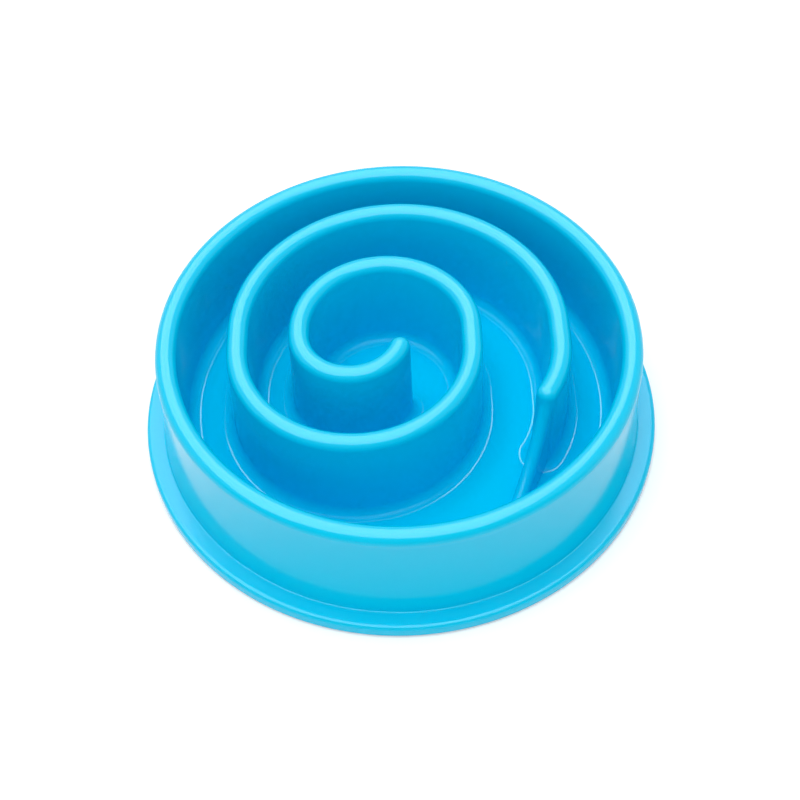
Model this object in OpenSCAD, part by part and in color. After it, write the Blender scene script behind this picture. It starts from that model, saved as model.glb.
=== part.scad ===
// Slow feeder bowl: a one-piece moulded pet bowl with a hollow spiral ridge, on four push-in rubber feet.
// Millimetres, +Z up, the bowl seen from -Y. The origin is on the table under the middle of the bowl.

/* [Bowl] */
// outside diameter of the foot flange
base_d = 200; // [194:1:220]
// height of the rim and of the ridge above the table
height = 50; // [46:0.5:56]
// outside diameter of the rounded rim
rim_d = 182; // [181:0.5:183]
// height of the bowl's floor above the table
floor_h = 8; // [7.5:0.1:9]
// thickness of the moulded wall
wall_t = 2.2; // [1.8:0.1:2.4]
// width of the rounded edge that the rim and the ridge share
crest_w = 7.8; // [7.4:0.1:8]
// draft of the standing walls in degrees
draft = 1; // [0.5:0.25:1.5]
// radius where a standing wall meets the floor
fillet_r = 2.5; // [2:0.5:3]

/* [Skirt and foot] */
// how far the outer skirt comes out on its way down to the foot flange
skirt_flare = 2.2; // [1.5:0.1:3]
// how far the rounded rim stands out from the top of the skirt
rim_lip = 0.15; // [0.1:0.05:0.3]
// height of the foot flange's upper face above the table
ledge_h = 5.7; // [5.2:0.1:6.5]
// radius of the foot flange's outer edge
ledge_edge_r = 1.6; // [1:0.1:2]

/* [Spiral ridge] */
// radius of the outer back arc, to the middle of the crest
outer_arc_r = 60.5; // [60:0.5:61.5]
// radius of the front arc
front_arc_r = 44; // [43:0.5:45]
// radius of the inner back arc
inner_arc_r = 32.5; // [31.5:0.5:33.5]
// radius of the small arc that ends near the middle
centre_arc_r = 19.5; // [18.5:0.5:20]
// angle that the small arc turns through, in degrees
centre_turn = 160; // [145:1:165]
// how far behind the middle of the bowl the back arcs have their centres
back_y = 5; // [4:0.5:6]
// length of the straight legs between the back arcs and the front arc
leg_l = 8.5; // [7:0.5:10]
// length of the straight leg between the inner back arc and the small arc
centre_leg_l = 2; // [1:0.5:3]
// angle that the outer end turns inwards before it falls to the floor, in degrees
tail_turn = 25; // [22:1:27]
// angle at which the full-height part of the outer end stops
end_turn = 33; // [31:1:34]
// radius of the ramp down which the outer end falls
ramp_r = 48; // [47:0.5:50]
// height of the ramp's centre above the crest
ramp_rise = 5; // [4.5:0.5:5.5]
// distance of the ramp's centre from the end of the turn
ramp_reach = 57; // [56.5:0.1:58]

/* [Rubber feet] */
// distance of the feet from the middle of the bowl
feet_place_r = 77.5; // [76:0.5:77.5]
// direction of the first foot from +X, in degrees
feet_angle = 45; // [40:1:50]
// diameter of a foot's head
head_d = 8.4; // [7:0.1:8.6]
// height of a foot's head
head_h = 2; // [1.8:0.1:2.4]
// diameter of a foot's stem
stem_d = 4.4; // [4:0.1:5]
// length of a foot's stem
stem_l = 2.8; // [2:0.1:3]
// how far the feet lift the flange off the table
feet_lift = 0.8; // [0.5:0.1:1]
// clearance around a foot in its boss
feet_clearance = 0.1; // [0.05:0.05:0.2]
// rounding of a foot's edges
foot_edge_r = 0.6; // [0.4:0.1:0.8]

/* [Hidden] */
$fn = 180;
// a fillet runs this far into the face that it would otherwise only touch
graze = 0.05;
// how far one solid reaches into the next, or a cut past a face
bite = 1;
// the middle step of a computed place is a whole number of these
finest = 0.001;
base_r = base_d / 2;
crest_r = crest_w / 2;
crest_z = height - crest_r;
rim_r = rim_d / 2 - crest_r;
under_z = floor_h - wall_t;
// height of the foot of every standing wall, halfway through the floor
root_z = floor_h - wall_t / 2;
fillet_z = floor_h + fillet_r - graze;
// the ridge's arcs follow on from each other across the lines y = back_y and y = front_y
front_y = back_y - leg_l;
centre_y = back_y - centre_leg_l;
front_x = front_arc_r - outer_arc_r;
inner_x = front_x + front_arc_r - inner_arc_r;
centre_x = inner_x - inner_arc_r + centre_arc_r;
tail_x = outer_arc_r - front_arc_r;
// the skirt is one hollow arc that starts upright under the rim
skirt_drop = crest_z - ledge_h;
skirt_r = (pow(skirt_drop, 2) + pow(skirt_flare, 2)) / (2 * skirt_flare);
skirt_x = rim_d / 2 - rim_lip + skirt_r;
// the ramp's sweep starts inside the full-height end
ramp_start = 10.5;
boss_d = head_d + 2 * feet_clearance + wall_t;
boss_z = (feet_lift + head_h) / 2 - feet_clearance;
bowl_colour = [0.0, 0.7, 0.92];
rubber_colour = [0.16, 0.17, 0.18];

// half width of a standing wall's outside at height z
function flank(z) = crest_r + (crest_z - z) * tan(draft);

// place that lies at distance r and angle a from (x, y)
function at(x, y, r, a) = [x + r * cos(a), y + r * sin(a)];

// A standing wall seen end on without its fillets. inset is 0 outside and wall_t for the hollow.
module blade(inset, foot_z) {
  translate([0, crest_z])
    circle(crest_r - inset);
  polygon([
    [crest_r - inset, crest_z],
    [inset - crest_r, crest_z],
    [inset - flank(foot_z), foot_z],
    [flank(foot_z) - inset, foot_z],
  ]);
}

// The fillet on the right of a blade, with the part of the floor below it.
module fillet(inset, foot_z) {
  fillet_x = flank(fillet_z) + fillet_r - graze;
  difference() {
    translate([0, foot_z])
      square([fillet_x, fillet_z - foot_z]);
    translate([fillet_x, fillet_z])
      circle(fillet_r + inset);
  }
}

// The right half of a standing wall with its fillet.
module half_wall(inset) {
  foot_z = inset > 0 ? under_z - bite : root_z;
  intersection() {
    blade(inset, foot_z);
    translate([0, -bite])
      square([base_r, height + 2 * bite]);
  }
  fillet(inset, foot_z);
}

// Both halves.
module wall(inset) {
  foot_z = inset > 0 ? under_z - bite : root_z;
  blade(inset, foot_z);
  fillet(inset, foot_z);
  mirror([1, 0])
    fillet(inset, foot_z);
}

// Moves its children to a computed place in three steps, each short enough to be written out in full.
module move_to(place) {
  whole = [for (v = place) floor(v)];
  part = [for (v = place - whole) floor(v / finest) * finest];
  translate(whole)
    translate(part)
      translate(place - whole - part)
        children();
}

// An arc of the ridge about (x, y).
module ridge_arc(x, y, r, from, through, inset) {
  translate([x, y])
    rotate_extrude(angle = through, start = from)
      translate([r, 0])
        wall(inset);
}

// A straight stretch of the ridge.
module ridge_leg(place, heading, l, inset) {
  translate(place)
    rotate([90, 0, heading + 90])
      linear_extrude(l)
        wall(inset);
}

// A blunt end of the ridge.
module ridge_end(place, heading, inset) {
  move_to(place)
    rotate_extrude(angle = 180, start = heading - 90)
      half_wall(inset);
}

// The outer end's ramp: the ridge's own section swept down a quarter circle to the floor. It starts inside
// the full-height end.
module ridge_ramp(place, heading, inset) {
  foot_z = inset > 0 ? under_z - bite : root_z;
  translate(place)
    rotate([0, 0, heading])
      intersection() {
        translate([ramp_reach, 0, height + ramp_rise])
          rotate([90, 180 - ramp_start, 0])
            rotate_extrude(angle = 90)
              translate([ramp_r + height, 0])
                rotate(90)
                  blade(inset, root_z);
        translate([crest_r, -crest_w, foot_z])
          cube([ramp_reach, 2 * crest_w, height - foot_z]);
      }
}

// The whole spiral, from its blunt end near the middle to its ramp at the front right.
module ridge(inset) {
  ridge_end(at(centre_x, centre_y, centre_arc_r, 180 + centre_turn), centre_turn - 90, inset);
  ridge_arc(centre_x, centre_y, centre_arc_r, 180, centre_turn, inset);
  ridge_leg([inner_x - inner_arc_r, back_y], 270, centre_leg_l, inset);
  ridge_arc(inner_x, back_y, inner_arc_r, 0, 180, inset);
  ridge_leg([inner_x + inner_arc_r, back_y], 270, leg_l, inset);
  ridge_arc(front_x, front_y, front_arc_r, 180, 180, inset);
  ridge_leg([-outer_arc_r, back_y], 270, leg_l, inset);
  ridge_arc(0, back_y, outer_arc_r, 0, 180, inset);
  ridge_leg([outer_arc_r, back_y], 270, leg_l, inset);
  ridge_arc(tail_x, front_y, front_arc_r, -end_turn, end_turn, inset);
  ridge_end(at(tail_x, front_y, front_arc_r, -end_turn), 270 - end_turn, inset);
  ridge_ramp(at(tail_x, front_y, front_arc_r, -tail_turn), 270 - tail_turn, inset);
}

// Half section of the skirt and foot flange. The hollow is the same outline moved in by the wall.
module skirt_section(inset) {
  foot_z = inset > 0 ? feet_lift - bite : feet_lift;
  edge_r = max(ledge_edge_r - inset, graze);
  flange_r = base_r - inset;
  flange_z = ledge_h - inset;
  difference() {
    translate([rim_r, foot_z])
      square([rim_d / 2 + skirt_flare - rim_r, crest_z - foot_z]);
    translate([skirt_x, crest_z])
      circle(skirt_r + inset);
  }
  translate([rim_r, foot_z])
    square([flange_r - rim_r, flange_z - edge_r - foot_z]);
  translate([rim_r, foot_z])
    square([flange_r - edge_r - rim_r, flange_z - foot_z]);
  translate([flange_r - edge_r, flange_z - edge_r])
    circle(edge_r);
}

// Rim, inner wall, skirt and flange all round.
module rim(inset) {
  rotate_extrude() {
    translate([rim_r, 0])
      mirror([1, 0])
        half_wall(inset);
    translate([rim_r, crest_z])
      circle(crest_r - inset);
    skirt_section(inset);
  }
}

// Moves its children to foot number i.
module at_foot(i) {
  rotate([0, 0, feet_angle + i * 90])
    translate([feet_place_r, 0, 0])
      children();
}

module bowl() {
  color(bowl_colour)
    difference() {
      union() {
        difference() {
          union() {
            translate([0, 0, under_z])
              cylinder(r = rim_r - crest_r, h = wall_t);
            rim(0);
            ridge(0);
          }
          rim(wall_t);
          ridge(wall_t);
        }
        for (i = [0:3])
          at_foot(i)
            translate([0, 0, boss_z])
              cylinder(d = boss_d, h = root_z - boss_z);
      }
      for (i = [0:3])
        at_foot(i) {
          translate([0, 0, boss_z - bite])
            cylinder(d = head_d + 2 * feet_clearance, h = head_h + bite - boss_z);
          cylinder(d = stem_d + 2 * feet_clearance, h = head_h + stem_l + feet_clearance);
        }
    }
}

// A mushroom-shaped rubber foot with rounded edges.
module foot(i) {
  color(rubber_colour)
    at_foot(i)
      rotate_extrude() {
        translate([0, foot_edge_r])
          square([head_d / 2, head_h - foot_edge_r]);
        square([head_d / 2 - foot_edge_r, foot_edge_r]);
        translate([head_d / 2 - foot_edge_r, foot_edge_r])
          intersection() {
            circle(foot_edge_r);
            translate([0, -foot_edge_r])
              square(foot_edge_r);
          }
        translate([0, head_h])
          square([stem_d / 2, stem_l - foot_edge_r]);
        translate([0, head_h + stem_l - foot_edge_r])
          polygon([[0, 0], [stem_d / 2, 0], [stem_d / 2 - foot_edge_r, foot_edge_r], [0, foot_edge_r]]);
      }
}

bowl();
foot(0);  // foot_back_right
foot(1);  // foot_back_left
foot(2);  // foot_front_left
foot(3);  // foot_front_right
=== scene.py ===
"""A slow feeder bowl in glossy cyan plastic on a white table, seen from the front and above."""

import math

import bmesh
import bpy
from mathutils import Matrix, Vector


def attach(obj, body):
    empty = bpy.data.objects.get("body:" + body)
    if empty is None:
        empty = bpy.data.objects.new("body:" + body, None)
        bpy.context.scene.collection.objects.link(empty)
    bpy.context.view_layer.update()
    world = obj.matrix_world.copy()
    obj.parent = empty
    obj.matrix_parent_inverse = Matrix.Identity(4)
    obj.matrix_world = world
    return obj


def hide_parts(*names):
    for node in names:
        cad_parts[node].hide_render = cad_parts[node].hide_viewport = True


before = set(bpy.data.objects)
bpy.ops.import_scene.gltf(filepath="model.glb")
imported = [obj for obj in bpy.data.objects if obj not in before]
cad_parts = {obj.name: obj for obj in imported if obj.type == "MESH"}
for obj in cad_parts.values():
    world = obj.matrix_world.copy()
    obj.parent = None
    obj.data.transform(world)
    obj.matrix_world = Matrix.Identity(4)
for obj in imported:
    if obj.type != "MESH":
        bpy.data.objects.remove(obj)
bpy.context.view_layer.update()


# The view: the camera stands in front of the bowl and looks down on it at about 53 degrees, turned by a
# little under two degrees, which is what the bowl's rim and foot give as the photographer's view.
MM = 0.001
PICTURE_PX = 800
FOCAL_PX = 1517.3
SENSOR = 36.0
LOOK_AT = Vector((-0.17, 0.0, 8.89)) * MM
LOOK_FROM_DISTANCE = 597.4 * MM
LOOK_DOWN = math.radians(52.651)
LOOK_ROLL = math.radians(1.709)
NEAREST = 0.01
FARTHEST = 20

camera_data = bpy.data.cameras.new("camera")
camera_data.sensor_width = SENSOR
camera_data.lens = SENSOR * FOCAL_PX / PICTURE_PX
camera_data.clip_start = NEAREST
camera_data.clip_end = FARTHEST
camera = bpy.data.objects.new("camera", camera_data)
bpy.context.scene.collection.objects.link(camera)
look_from = Vector((0, -math.cos(LOOK_DOWN), math.sin(LOOK_DOWN)))
camera.matrix_world = (
    Matrix.Translation(LOOK_AT + LOOK_FROM_DISTANCE * look_from)
    @ Matrix.Rotation(math.pi / 2 - LOOK_DOWN, 4, "X")
    @ Matrix.Rotation(-LOOK_ROLL, 4, "Z")
)
bpy.context.scene.camera = camera


# The studio: a white table that keeps the bowl's soft contact shadow and runs out into white air, a soft
# box overhead and one in front that light the bowl but stay out of its reflections, a large glowing panel
# overhead a little to the left that lights nothing and only paints the highlights seen in the glossy
# plastic, and a black card in front that keeps the near sides of the rounded edges deep in colour.
WHITE = (1, 1, 1, 1)
AIR_STRENGTH = 0.64
TABLE_SIZE = 6.0
TABLE_WHITE = (0.92, 0.92, 0.92, 1)
TABLE_LIFT = 0.2
FADE_START = 0.25
FADE_END = 0.9

scene = bpy.context.scene
scene.view_settings.view_transform = "Standard"


def seen_rays(nodes, links):
    """1 for the rays that see the background: from the camera, from a mirror or through glass."""
    path = nodes.new("ShaderNodeLightPath")
    either = nodes.new("ShaderNodeMath")
    either.operation = "MAXIMUM"
    links.new(path.outputs["Is Camera Ray"], either.inputs[0])
    links.new(path.outputs["Is Glossy Ray"], either.inputs[1])
    seen = nodes.new("ShaderNodeMath")
    seen.operation = "MAXIMUM"
    links.new(either.outputs[0], seen.inputs[0])
    links.new(path.outputs["Is Transmission Ray"], seen.inputs[1])
    return seen.outputs[0]


air = bpy.data.worlds.new("air")
scene.world = air
air.use_nodes = True
nodes = air.node_tree.nodes
links = air.node_tree.links
nodes.clear()
air_out = nodes.new("ShaderNodeOutputWorld")
air_pick = nodes.new("ShaderNodeMixShader")
air_light = nodes.new("ShaderNodeBackground")
air_light.inputs["Color"].default_value = WHITE
air_light.inputs["Strength"].default_value = AIR_STRENGTH
air_seen = nodes.new("ShaderNodeBackground")
air_seen.inputs["Color"].default_value = WHITE
air_seen.inputs["Strength"].default_value = 1.0
links.new(seen_rays(nodes, links), air_pick.inputs["Fac"])
links.new(air_light.outputs[0], air_pick.inputs[1])
links.new(air_seen.outputs[0], air_pick.inputs[2])
links.new(air_pick.outputs[0], air_out.inputs["Surface"])

bpy.ops.object.select_all(action="DESELECT")
bpy.ops.mesh.primitive_plane_add(size=TABLE_SIZE)
table = bpy.context.object
table.name = "table"
table_white = bpy.data.materials.new("white table")
table_white.use_nodes = True
nodes = table_white.node_tree.nodes
links = table_white.node_tree.links
nodes.clear()
table_out = nodes.new("ShaderNodeOutputMaterial")
table_sum = nodes.new("ShaderNodeAddShader")
table_face = nodes.new("ShaderNodeBsdfDiffuse")
table_face.inputs["Color"].default_value = TABLE_WHITE
table_glow = nodes.new("ShaderNodeEmission")
table_glow.inputs["Color"].default_value = WHITE
table_glow_level = nodes.new("ShaderNodeMath")
table_glow_level.operation = "MULTIPLY"
table_glow_level.inputs[1].default_value = TABLE_LIFT
links.new(seen_rays(nodes, links), table_glow_level.inputs[0])
links.new(table_glow_level.outputs[0], table_glow.inputs["Strength"])
links.new(table_face.outputs[0], table_sum.inputs[0])
links.new(table_glow.outputs[0], table_sum.inputs[1])
table_place = nodes.new("ShaderNodeTexCoord")
table_reach = nodes.new("ShaderNodeVectorMath")
table_reach.operation = "LENGTH"
links.new(table_place.outputs["Object"], table_reach.inputs[0])
table_fade = nodes.new("ShaderNodeMapRange")
table_fade.interpolation_type = "SMOOTHSTEP"
table_fade.inputs["From Min"].default_value = FADE_START
table_fade.inputs["From Max"].default_value = FADE_END
links.new(table_reach.outputs["Value"], table_fade.inputs["Value"])
table_far = nodes.new("ShaderNodeMath")
table_far.operation = "MULTIPLY"
links.new(table_fade.outputs["Result"], table_far.inputs[0])
links.new(seen_rays(nodes, links), table_far.inputs[1])
table_away = nodes.new("ShaderNodeEmission")
table_away.inputs["Color"].default_value = WHITE
table_pick = nodes.new("ShaderNodeMixShader")
links.new(table_far.outputs[0], table_pick.inputs["Fac"])
links.new(table_sum.outputs[0], table_pick.inputs[1])
links.new(table_away.outputs[0], table_pick.inputs[2])
links.new(table_pick.outputs[0], table_out.inputs["Surface"])
table.data.materials.append(table_white)

CARD_WIDTH = 5.0
CARD_FOOT = Vector((0, -0.25, 0.002))
CARD_TOP = Vector((0, -1.4, 1.35))
CARD_BLACK = (0.005, 0.005, 0.005, 1)
CARD_ROUGHNESS = 0.9

bpy.ops.object.select_all(action="DESELECT")
bpy.ops.mesh.primitive_plane_add(size=1)
card = bpy.context.object
card.name = "black card"
bpy.ops.transform.resize(value=(CARD_WIDTH, (CARD_TOP - CARD_FOOT).length, 1))
card.rotation_euler = (CARD_TOP - CARD_FOOT).to_track_quat("Y", "Z").to_euler()
card.location = (CARD_TOP + CARD_FOOT) / 2
card.visible_camera = False
card.visible_diffuse = False
card.visible_shadow = False
black = bpy.data.materials.new("black card")
black.use_nodes = True
card_face = black.node_tree.nodes["Principled BSDF"]
card_face.inputs["Base Color"].default_value = CARD_BLACK
card_face.inputs["Roughness"].default_value = CARD_ROUGHNESS
card.data.materials.append(black)

OVERHEAD_PLACE = (-0.08, 0.04, 1.1)
OVERHEAD_SIZE = 0.6
OVERHEAD_POWER = 5.7
IN_FRONT_PLACE = (-0.2, -0.95, 0.75)
IN_FRONT_SIZE = 0.8
IN_FRONT_POWER = 1.3


def soft_box(name, place, size, power):
    """One square lamp that looks at the bowl and leaves its mirror image to the painted highlight panel."""
    lamp_data = bpy.data.lights.new(name, "AREA")
    lamp_data.shape = "SQUARE"
    lamp_data.size = size
    lamp_data.energy = power
    lamp = bpy.data.objects.new(name, lamp_data)
    lamp.location = place
    lamp.rotation_euler = (-Vector(place)).to_track_quat("-Z", "Y").to_euler()
    lamp.visible_glossy = False
    scene.collection.objects.link(lamp)


soft_box("soft box overhead", OVERHEAD_PLACE, OVERHEAD_SIZE, OVERHEAD_POWER)
soft_box("soft box in front", IN_FRONT_PLACE, IN_FRONT_SIZE, IN_FRONT_POWER)

# A glowing panel seen only in reflections: it lights nothing and paints the soft box's highlights on the
# plastic.
HIGHLIGHT_PANEL_PLACE = (-0.3, 0.2, 1.0)
HIGHLIGHT_PANEL_WIDTH = 1.8
HIGHLIGHT_PANEL_LENGTH = 2.2
HIGHLIGHT_PANEL_STRENGTH = 6.5

bpy.ops.object.select_all(action="DESELECT")
bpy.ops.mesh.primitive_plane_add(size=1, location=HIGHLIGHT_PANEL_PLACE)
highlight_panel = bpy.context.object
highlight_panel.name = "painted highlight panel"
bpy.ops.transform.resize(value=(HIGHLIGHT_PANEL_WIDTH, HIGHLIGHT_PANEL_LENGTH, 1))
highlight_panel.visible_camera = False
highlight_panel.visible_diffuse = False
highlight_panel.visible_shadow = False
glow = bpy.data.materials.new("painted highlight panel")
glow.use_nodes = True
nodes = glow.node_tree.nodes
nodes.clear()
glow_out = nodes.new("ShaderNodeOutputMaterial")
glow_light = nodes.new("ShaderNodeEmission")
glow_light.inputs["Strength"].default_value = HIGHLIGHT_PANEL_STRENGTH
glow.node_tree.links.new(glow_light.outputs[0], glow_out.inputs["Surface"])
highlight_panel.data.materials.append(glow)


# The bowl: one injection moulding in polypropylene, an even sheet of plastic drawn up into the rim, the
# outer skirt, the foot flange and a spiral ridge, so that both rim and ridge are hollow from below. Under
# its floor stand four small bosses with blind bores, which take the feet.
WALL = 2.2 * MM
FLOOR_Z = 8.0 * MM
TOP_Z = 50.0 * MM
HEM_Z = 0.8 * MM
HOLLOW_HEM_Z = HEM_Z - MM
CREST_R = 3.9 * MM
CREST_Z = TOP_Z - CREST_R
RIM_R = 87.1 * MM
DRAFT = math.radians(1)
FILLET_R = 4.5 * MM
STRIP = 0.4 * MM
FLANGE_R = 100.0 * MM
LEDGE_Z = 5.7 * MM
LEDGE_EDGE_R = 1.6 * MM
CREASE_R = 0.5 * MM
RIM_LIP = 0.15 * MM
SKIRT_FLARE = 2.2 * MM
SKIRT_DROP = CREST_Z - LEDGE_Z
SKIRT_R = (SKIRT_DROP**2 + SKIRT_FLARE**2) / (2 * SKIRT_FLARE)
SKIRT_X = RIM_R + CREST_R - RIM_LIP + SKIRT_R

ROUND_STEPS = 256
FILLET_STEPS = 10
CREST_STEPS = 24
RIM_STEPS = 26
SKIRT_STEPS = 10
EDGE_STEPS = 6
END_STEPS = 36
LOOP_SHARES = (0.03, 0.5, 0.97)
LOOP_GAP = 0.3 * MM
THINNEST_EDGE_R = 0.1 * MM

BACK_Y = 5.0 * MM
LEG = 8.5 * MM
CENTRE_LEG = 2.0 * MM
FRONT_Y = BACK_Y - LEG
CENTRE_Y = BACK_Y - CENTRE_LEG
OUTER_ARC_R = 60.5 * MM
FRONT_ARC_R = 44.0 * MM
INNER_ARC_R = 32.5 * MM
CENTRE_ARC_R = 19.5 * MM
FRONT_X = FRONT_ARC_R - OUTER_ARC_R
INNER_X = FRONT_X + FRONT_ARC_R - INNER_ARC_R
CENTRE_X = INNER_X - INNER_ARC_R + CENTRE_ARC_R
TAIL_X = OUTER_ARC_R - FRONT_ARC_R
CENTRE_TURN = math.radians(160)
TAIL_TURN = math.radians(25)
END_TURN = math.radians(33)
ARC_STEP = 1.5 * MM

UP = Vector((0, 0, 1))
ACROSS = Vector((0, 1, 0))
SAME = 1e-6
END_SLACK = 1e-5
SECTION_REACH = 10.0 * MM


def start_outline(point):
    """A new mesh with one vertex, open for editing."""
    if bpy.context.object and bpy.context.object.mode == "EDIT":
        bpy.ops.object.mode_set(mode="OBJECT")
    bpy.ops.object.select_all(action="DESELECT")
    bpy.ops.mesh.primitive_plane_add(size=MM)
    bpy.ops.object.mode_set(mode="EDIT")
    bpy.ops.mesh.select_mode(type="VERT")
    bpy.ops.mesh.select_all(action="SELECT")
    bpy.ops.mesh.merge(type="CENTER")
    bpy.ops.transform.translate(value=point)
    return bpy.context.object


def pick(test):
    """Selects the vertices that pass a test, and the edges and faces between them."""
    mesh = bpy.context.object.data
    shape = bmesh.from_edit_mesh(mesh)
    for vertex in shape.verts:
        vertex.select = bool(test(vertex.co))
    shape.select_mode = {"VERT"}
    shape.select_flush_mode()
    bmesh.update_edit_mesh(mesh)


def picked():
    shape = bmesh.from_edit_mesh(bpy.context.object.data)
    return [vertex.co.copy() for vertex in shape.verts if vertex.select]


def line_to(*points):
    """Draws straight on from the selected vertex."""
    for point in points:
        bpy.ops.mesh.extrude_vertices_move(TRANSFORM_OT_translate={"value": point - picked()[0]})


def turn(angle, centre, axis, steps):
    """Sweeps what is selected round an axis, by the right-hand rule."""
    bpy.ops.mesh.spin(steps=max(1, round(steps)), angle=-angle, center=centre, axis=axis)


def standing_wall(wall):
    """Crest radius, fillet radius, floor height and fillet centre of a standing wall's section."""
    crest_r = CREST_R - wall
    fillet_r = FILLET_R + wall
    floor_z = FLOOR_Z - wall
    reach = crest_r + CREST_Z * math.sin(DRAFT)
    foot_x = (reach + fillet_r - (floor_z + fillet_r) * math.sin(DRAFT)) / math.cos(DRAFT)
    return crest_r, fillet_r, floor_z, foot_x


def drawn_section(place, wall):
    """The ridge's section across +X at a place: floor, fillet, wall, rounded crest, wall, fillet, floor."""
    crest_r, fillet_r, floor_z, foot_x = standing_wall(wall)
    lean = Vector((math.cos(DRAFT), 0, math.sin(DRAFT)))
    lean_back = Vector((-math.cos(DRAFT), 0, math.sin(DRAFT)))
    crest = Vector((place.x, place.y, CREST_Z))
    foot = Vector((place.x + foot_x, place.y, floor_z + fillet_r))
    foot_back = Vector((place.x - foot_x, place.y, floor_z + fillet_r))
    obj = start_outline(Vector((foot.x + STRIP, foot.y, floor_z)))
    line_to(Vector((foot.x, foot.y, floor_z)))
    turn(math.pi / 2 - DRAFT, foot, ACROSS, FILLET_STEPS)
    low = foot - lean * fillet_r
    high = crest + lean * crest_r
    line_to(*(low.lerp(high, share) for share in LOOP_SHARES), high)
    turn(-(math.pi - 2 * DRAFT), crest, ACROSS, CREST_STEPS)
    low = foot_back - lean_back * fillet_r
    high = crest + lean_back * crest_r
    line_to(*(high.lerp(low, share) for share in LOOP_SHARES), low)
    turn(math.pi / 2 - DRAFT, foot_back, ACROSS, FILLET_STEPS)
    line_to(Vector((foot_back.x - STRIP, foot.y, floor_z)))
    return obj


def blunt_end(place, heading):
    """Closes the ridge's end with half a turn of its own section about the upright line at the end."""
    along = Vector((math.cos(heading), math.sin(heading), 0))
    side = UP.cross(along)

    def at_end(co):
        off = Vector((co.x - place.x, co.y - place.y, 0))
        return abs(off.dot(along)) < END_SLACK and -SAME < off.dot(side) < 2 * FILLET_R + 2 * CREST_R

    pick(at_end)
    turn(-math.pi, place, UP, END_STEPS)
    bpy.ops.mesh.select_all(action="SELECT")
    bpy.ops.mesh.remove_doubles(threshold=SAME)


def round_point(x, y, radius, angle):
    return Vector((x + radius * math.cos(angle), y + radius * math.sin(angle), 0))


def spiral_skin(wall):
    """The whole ridge's skin, from the blunt end near the middle out to the one at the front right."""
    obj = drawn_section(Vector((INNER_X - INNER_ARC_R, CENTRE_Y, 0)), wall)
    bpy.ops.mesh.select_all(action="SELECT")
    turn(CENTRE_TURN, (CENTRE_X, CENTRE_Y, 0), UP, CENTRE_ARC_R * CENTRE_TURN / ARC_STEP)
    centre_end = round_point(CENTRE_X, CENTRE_Y, CENTRE_ARC_R, math.pi + CENTRE_TURN)
    blunt_end(centre_end, CENTRE_TURN - math.pi / 2)
    pick(lambda co: abs(co.y - CENTRE_Y) < SAME and abs(co.x - INNER_X + INNER_ARC_R) < SECTION_REACH)
    bpy.ops.mesh.extrude_region_move(TRANSFORM_OT_translate={"value": (0, CENTRE_LEG, 0)})
    turn(-math.pi, (INNER_X, BACK_Y, 0), UP, INNER_ARC_R * math.pi / ARC_STEP)
    bpy.ops.mesh.extrude_region_move(TRANSFORM_OT_translate={"value": (0, -LEG, 0)})
    turn(-math.pi, (FRONT_X, FRONT_Y, 0), UP, FRONT_ARC_R * math.pi / ARC_STEP)
    bpy.ops.mesh.extrude_region_move(TRANSFORM_OT_translate={"value": (0, LEG, 0)})
    turn(-math.pi, (0, BACK_Y, 0), UP, OUTER_ARC_R * math.pi / ARC_STEP)
    bpy.ops.mesh.extrude_region_move(TRANSFORM_OT_translate={"value": (0, -LEG, 0)})
    turn(-END_TURN, (TAIL_X, FRONT_Y, 0), UP, FRONT_ARC_R * END_TURN / ARC_STEP)
    blunt_end(round_point(TAIL_X, FRONT_Y, FRONT_ARC_R, -END_TURN), math.radians(270) - END_TURN)
    bpy.ops.object.mode_set(mode="OBJECT")
    return obj


def rim_skin(wall, hem_z):
    """The rim, the wall inside it, the skirt, the foot flange and its hem, all turned about the middle."""
    crest_r, fillet_r, floor_z, foot_x = standing_wall(wall)
    skirt_r = SKIRT_R + wall
    crease_r = CREASE_R + wall
    ledge_z = LEDGE_Z - wall
    edge_r = max(LEDGE_EDGE_R - wall, THINNEST_EDGE_R)
    flange_r = FLANGE_R - wall
    lean = Vector((-math.cos(DRAFT), 0, math.sin(DRAFT)))
    foot = Vector((RIM_R - foot_x, 0, floor_z + fillet_r))
    crest = Vector((RIM_R, 0, CREST_Z))
    obj = start_outline(Vector((foot.x - STRIP, 0, floor_z)))
    line_to(Vector((foot.x, 0, floor_z)))
    turn(-(math.pi / 2 - DRAFT), foot, ACROSS, FILLET_STEPS)
    low = foot - lean * fillet_r
    high = crest + lean * crest_r
    line_to(*(low.lerp(high, share) for share in LOOP_SHARES), high)
    gap = SKIRT_X - RIM_R
    lip = -math.acos((gap**2 + crest_r**2 - skirt_r**2) / (2 * gap * crest_r))
    turn(math.pi - DRAFT - lip, crest, ACROSS, RIM_STEPS)
    skirt = Vector((SKIRT_X, 0, CREST_Z))
    crease_z = ledge_z + crease_r
    crease_x = SKIRT_X - math.sqrt((skirt_r - crease_r) ** 2 - (CREST_Z - crease_z) ** 2)
    crease = Vector((crease_x, 0, crease_z))
    slope_top = math.asin(-crest_r * math.sin(lip) / skirt_r)
    slope_low = math.asin((CREST_Z - crease_z) / (skirt_r - crease_r))
    turn(-(slope_low - slope_top), skirt, ACROSS, SKIRT_STEPS)
    turn(-(math.pi / 2 - slope_low), crease, ACROSS, EDGE_STEPS)
    line_to(Vector((crease_x + LOOP_GAP, 0, ledge_z)), Vector((flange_r - edge_r - LOOP_GAP, 0, ledge_z)),
            Vector((flange_r - edge_r, 0, ledge_z)))
    turn(math.pi / 2, Vector((flange_r - edge_r, 0, ledge_z - edge_r)), ACROSS, EDGE_STEPS)
    line_to(Vector((flange_r, 0, ledge_z - edge_r - LOOP_GAP)), Vector((flange_r, 0, hem_z)))
    bpy.ops.mesh.select_all(action="SELECT")
    turn(2 * math.pi, (0, 0, 0), UP, ROUND_STEPS)
    bpy.ops.mesh.select_all(action="SELECT")
    bpy.ops.mesh.remove_doubles(threshold=SAME)
    bpy.ops.object.mode_set(mode="OBJECT")
    return obj


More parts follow.
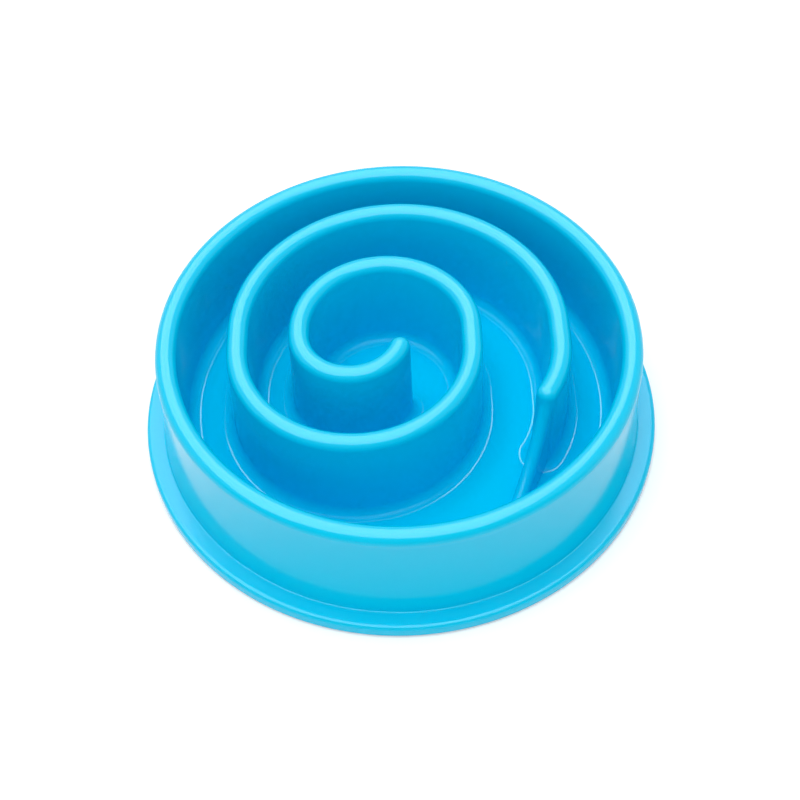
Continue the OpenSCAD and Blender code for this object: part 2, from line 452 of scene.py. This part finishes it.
def moulding_solid(wall, hem_z):
    """Everything under one skin of the moulding, closed flat below the hem."""
    ridge = spiral_skin(wall)
    rim = rim_skin(wall, hem_z)
    bpy.ops.object.select_all(action="DESELECT")
    ridge.select_set(True)
    rim.select_set(True)
    bpy.context.view_layer.objects.active = rim
    bpy.ops.object.join()
    bpy.ops.object.mode_set(mode="EDIT")
    bpy.ops.mesh.select_mode(type="EDGE")
    bpy.ops.mesh.select_all(action="DESELECT")
    bpy.ops.mesh.select_non_manifold(
        extend=False, use_wire=False, use_boundary=True, use_multi_face=False,
        use_non_contiguous=False, use_verts=False,
    )
    mesh = rim.data
    shape = bmesh.from_edit_mesh(mesh)
    for edge in shape.edges:
        edge.select = edge.select and abs(edge.verts[0].co.z - FLOOR_Z + wall) < SAME
    bmesh.update_edit_mesh(mesh)
    bpy.ops.mesh.fill(use_beauty=True)
    pick(lambda co: abs(co.z - hem_z) < SAME)
    bpy.ops.mesh.edge_face_add()
    bpy.ops.mesh.select_all(action="SELECT")
    bpy.ops.mesh.normals_make_consistent(inside=False)
    bpy.ops.object.mode_set(mode="OBJECT")
    return rim


RAMP_R = 48.0 * MM
RAMP_REACH = 57.0 * MM
RAMP_RISE = 5.0 * MM
RAMP_CENTRE_Z = TOP_Z + RAMP_RISE
RAMP_START = math.radians(10.5)
RAMP_CREST_R = 2.6 * MM
RAMP_ROOT_HALF = 4.1 * MM
RAMP_STOP = math.radians(82)
RAMP_STEPS = 48
ROOT_Z = FLOOR_Z - WALL / 2


def ramp_solid(wall):
    """The ramp at the ridge's outer end: a slim ridge swept down about a level axis to the floor."""
    crest_r = RAMP_CREST_R - wall
    root_z = ROOT_Z - wall
    root_half = RAMP_ROOT_HALF - wall
    axis_place = Vector((RAMP_REACH, 0, RAMP_CENTRE_Z))
    away = Vector((-math.cos(RAMP_START), 0, -math.sin(RAMP_START)))
    crest = axis_place + away * (RAMP_R + RAMP_CREST_R)
    root = axis_place + away * (RAMP_R + TOP_Z - ROOT_Z)
    obj = start_outline(crest + ACROSS * crest_r)
    turn(math.pi, crest, away.cross(ACROSS), CREST_STEPS)
    line_to(root - ACROSS * root_half, root + ACROSS * root_half, crest + ACROSS * crest_r)
    bpy.ops.mesh.select_all(action="SELECT")
    bpy.ops.mesh.remove_doubles(threshold=SAME)
    turn(RAMP_START - RAMP_STOP, axis_place, ACROSS, RAMP_STEPS)
    bpy.ops.mesh.select_all(action="SELECT")
    bpy.ops.mesh.fill_holes(sides=0)
    bpy.ops.mesh.normals_make_consistent(inside=False)
    for place, outwards in (((CREST_R, 0, 0), (-1, 0, 0)), ((0, 0, root_z), (0, 0, -1))):
        bpy.ops.mesh.select_all(action="SELECT")
        bpy.ops.mesh.bisect(plane_co=place, plane_no=outwards, use_fill=True, clear_outer=True)
    bpy.ops.mesh.select_all(action="SELECT")
    bpy.ops.mesh.normals_make_consistent(inside=False)
    bpy.ops.object.mode_set(mode="OBJECT")
    obj.location = round_point(TAIL_X, FRONT_Y, FRONT_ARC_R, -TAIL_TURN)
    obj.rotation_euler.z = math.radians(270) - TAIL_TURN
    bpy.ops.object.transform_apply(location=True, rotation=True, scale=False)
    return obj


def combine(target, tool, how):
    """Joins or cuts with a second solid, which is used up."""
    change = target.modifiers.new(how, "BOOLEAN")
    change.operation = how
    change.solver = "EXACT"
    change.object = tool
    bpy.ops.object.select_all(action="DESELECT")
    bpy.context.view_layer.objects.active = target
    bpy.ops.object.modifier_apply(modifier=change.name)
    bpy.data.objects.remove(tool)


bowl = moulding_solid(0, HEM_Z)
combine(bowl, ramp_solid(0), "UNION")
hollow = moulding_solid(WALL, HOLLOW_HEM_Z)
combine(hollow, ramp_solid(WALL), "UNION")
combine(bowl, hollow, "DIFFERENCE")

FEET = 4
FIRST_FOOT = 45
FEET_PLACE_R = 77.5 * MM
BOSS_R = 5.4 * MM
BOSS_Z = 1.3 * MM
BOSS_TOP_Z = FLOOR_Z - 0.1 * MM
RECESS_R = 4.3 * MM
RECESS_Z = 2.0 * MM
BORE_R = 2.3 * MM
BORE_Z = 4.9 * MM
BOSS_SIDES = 72

bpy.ops.object.select_all(action="DESELECT")
bpy.ops.mesh.primitive_cylinder_add(
    vertices=BOSS_SIDES,
    radius=BOSS_R,
    depth=BOSS_TOP_Z - BOSS_Z,
    location=(FEET_PLACE_R, 0, (BOSS_TOP_Z + BOSS_Z) / 2),
)
boss = bpy.context.object
bpy.ops.object.transform_apply(location=True)
bpy.ops.object.mode_set(mode="EDIT")
pick(lambda co: co.z < BOSS_Z + SAME)
bpy.ops.mesh.inset(thickness=BOSS_R - RECESS_R)
bpy.ops.mesh.extrude_region_move(TRANSFORM_OT_translate={"value": (0, 0, RECESS_Z - BOSS_Z)})
bpy.ops.mesh.inset(thickness=RECESS_R - BORE_R)
bpy.ops.mesh.extrude_region_move(TRANSFORM_OT_translate={"value": (0, 0, BORE_Z - RECESS_Z)})
bpy.ops.object.mode_set(mode="OBJECT")
for foot in range(FEET):
    bpy.ops.object.select_all(action="DESELECT")
    one = boss.copy()
    one.data = boss.data.copy()
    scene.collection.objects.link(one)
    one.rotation_euler.z = math.radians(FIRST_FOOT + 360 / FEET * foot)
    one.select_set(True)
    bpy.context.view_layer.objects.active = one
    bpy.ops.object.transform_apply(rotation=True)
    combine(bowl, one, "UNION")
bpy.data.objects.remove(boss)

SMOOTH_BELOW = math.radians(30)

bowl.name = "bowl_moulding"
bpy.ops.object.select_all(action="DESELECT")
bowl.select_set(True)
bpy.context.view_layer.objects.active = bowl
bpy.ops.object.mode_set(mode="EDIT")
bpy.ops.mesh.select_all(action="SELECT")
bpy.ops.mesh.remove_doubles(threshold=SAME)
bpy.ops.mesh.select_all(action="SELECT")
bpy.ops.mesh.dissolve_degenerate(threshold=SAME)
bpy.ops.object.mode_set(mode="OBJECT")
bpy.ops.object.shade_smooth_by_angle(angle=SMOOTH_BELOW)
flat_floor = bowl.modifiers.new("flat floor", "WEIGHTED_NORMAL")
flat_floor.keep_sharp = True
bpy.ops.object.modifier_apply(modifier=flat_floor.name)

CYAN = (0.0, 0.58, 0.86, 1)
PLASTIC_IOR = 1.49
# Painted reflection by height: no specular level on the floor, more on the crests for stronger highlights.
PAINTED_GLOSS_BY_HEIGHT = ((0.15, 0.2), (0.156, 0.0), (0.164, 0.0), (0.172, 0.06), (0.92, 0.25))
# A thin band low in the fillet with a raised specular level paints a highlight line along the foot of the
# walls.
PAINTED_FOOT_HIGHLIGHT_HEIGHT = 0.2 * MM
PAINTED_FOOT_HIGHLIGHT = ((0.1, 0.0), (0.15, 0.4), (0.33, 0.4), (0.4, 0.0))
SHEEN_SCALE = 90
SMOOTHEST = 0.11
ROUGHEST = 0.17
WAVE_SCALE = 45
WAVE_STRENGTH = 0.25
WAVE_DEPTH = 0.3 * MM


def noise(nodes, links, scale, detail):
    """Unevenness that stays in its place on the piece."""
    place = nodes.new("ShaderNodeTexCoord")
    uneven = nodes.new("ShaderNodeTexNoise")
    uneven.inputs["Scale"].default_value = scale
    uneven.inputs["Detail"].default_value = detail
    links.new(place.outputs["Object"], uneven.inputs["Vector"])
    return uneven.outputs["Fac"]


def roughness_between(nodes, links, uneven, low, high, shader):
    reach = nodes.new("ShaderNodeMapRange")
    reach.inputs["To Min"].default_value = low
    reach.inputs["To Max"].default_value = high
    links.new(uneven, reach.inputs["Value"])
    links.new(reach.outputs["Result"], shader.inputs["Roughness"])


def bump(nodes, links, uneven, strength, depth, shader):
    dents = nodes.new("ShaderNodeBump")
    dents.inputs["Strength"].default_value = strength
    dents.inputs["Distance"].default_value = depth
    links.new(uneven, dents.inputs["Height"])
    links.new(dents.outputs["Normal"], shader.inputs["Normal"])


def gloss_levels(nodes, links, share, levels):
    """The specular level along a height, given at a few shares of it."""
    ramp = nodes.new("ShaderNodeValToRGB")
    elements = ramp.color_ramp.elements
    for element, (position, level) in ((elements[0], levels[0]), (elements[1], levels[-1])):
        element.position = position
        element.color = (level, level, level, 1)
    for position, level in levels[1:-1]:
        element = elements.new(position)
        element.color = (level, level, level, 1)
    links.new(share, ramp.inputs["Fac"])
    return ramp.outputs["Color"]


cyan = bpy.data.materials.new("glossy cyan polypropylene")
cyan.use_nodes = True
nodes = cyan.node_tree.nodes
links = cyan.node_tree.links
gloss = nodes["Principled BSDF"]
gloss.inputs["Base Color"].default_value = CYAN
gloss.inputs["IOR"].default_value = PLASTIC_IOR

# Painted highlights by height: the floor gets no specular level, so it shows no reflection, the crests get
# the most, and a thin band low in the fillet gets a painted highlight line.
body_place = nodes.new("ShaderNodeTexCoord")
heights = nodes.new("ShaderNodeSeparateXYZ")
links.new(body_place.outputs["Object"], heights.inputs["Vector"])
share = nodes.new("ShaderNodeMath")
share.operation = "DIVIDE"
share.inputs[1].default_value = TOP_Z
links.new(heights.outputs["Z"], share.inputs[0])
foot_highlight_band = nodes.new("ShaderNodeMapRange")
foot_highlight_band.inputs["From Min"].default_value = FLOOR_Z
foot_highlight_band.inputs["From Max"].default_value = FLOOR_Z + PAINTED_FOOT_HIGHLIGHT_HEIGHT
links.new(heights.outputs["Z"], foot_highlight_band.inputs["Value"])
painted_gloss = nodes.new("ShaderNodeMath")
painted_gloss.operation = "MAXIMUM"
links.new(gloss_levels(nodes, links, share.outputs[0], PAINTED_GLOSS_BY_HEIGHT), painted_gloss.inputs[0])
links.new(gloss_levels(nodes, links, foot_highlight_band.outputs["Result"], PAINTED_FOOT_HIGHLIGHT), painted_gloss.inputs[1])
links.new(painted_gloss.outputs[0], gloss.inputs["Specular IOR Level"])

roughness_between(nodes, links, noise(nodes, links, SHEEN_SCALE, 3), SMOOTHEST, ROUGHEST, gloss)
bump(nodes, links, noise(nodes, links, WAVE_SCALE, 1), WAVE_STRENGTH, WAVE_DEPTH, gloss)
bowl.data.materials.clear()
bowl.data.materials.append(cyan)
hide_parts("bowl")
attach(bowl, "root")


# The feet: four push-in feet of dark rubber, each a small mushroom. Its stem is pushed into the bore of a
# boss and its head lies in the boss's shallow recess, so the bowl stands on rubber.
RUBBER_DARK = (0.018, 0.019, 0.021, 1)
RUBBER_PALE = (0.032, 0.033, 0.036, 1)
RUBBER_LEVEL = 0.35
GRAIN_SCALE = 2500
GRAIN_STRENGTH = 0.4
GRAIN_DEPTH = 0.05 * MM

rubber = bpy.data.materials.new("matte dark grey rubber")
rubber.use_nodes = True
nodes = rubber.node_tree.nodes
links = rubber.node_tree.links
matte = nodes["Principled BSDF"]
matte.inputs["Specular IOR Level"].default_value = RUBBER_LEVEL
grain = noise(nodes, links, GRAIN_SCALE, 3)
shades = nodes.new("ShaderNodeValToRGB")
shades.color_ramp.elements[0].position = 0.3
shades.color_ramp.elements[0].color = RUBBER_DARK
shades.color_ramp.elements[1].position = 0.7
shades.color_ramp.elements[1].color = RUBBER_PALE
links.new(grain, shades.inputs["Fac"])
links.new(shades.outputs["Color"], matte.inputs["Base Color"])
roughness_between(nodes, links, grain, 0.6, 0.85, matte)
bump(nodes, links, grain, GRAIN_STRENGTH, GRAIN_DEPTH, matte)
for name in ("foot_back_right", "foot_back_left", "foot_front_left", "foot_front_right"):
    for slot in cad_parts[name].material_slots:
        slot.material = rubber
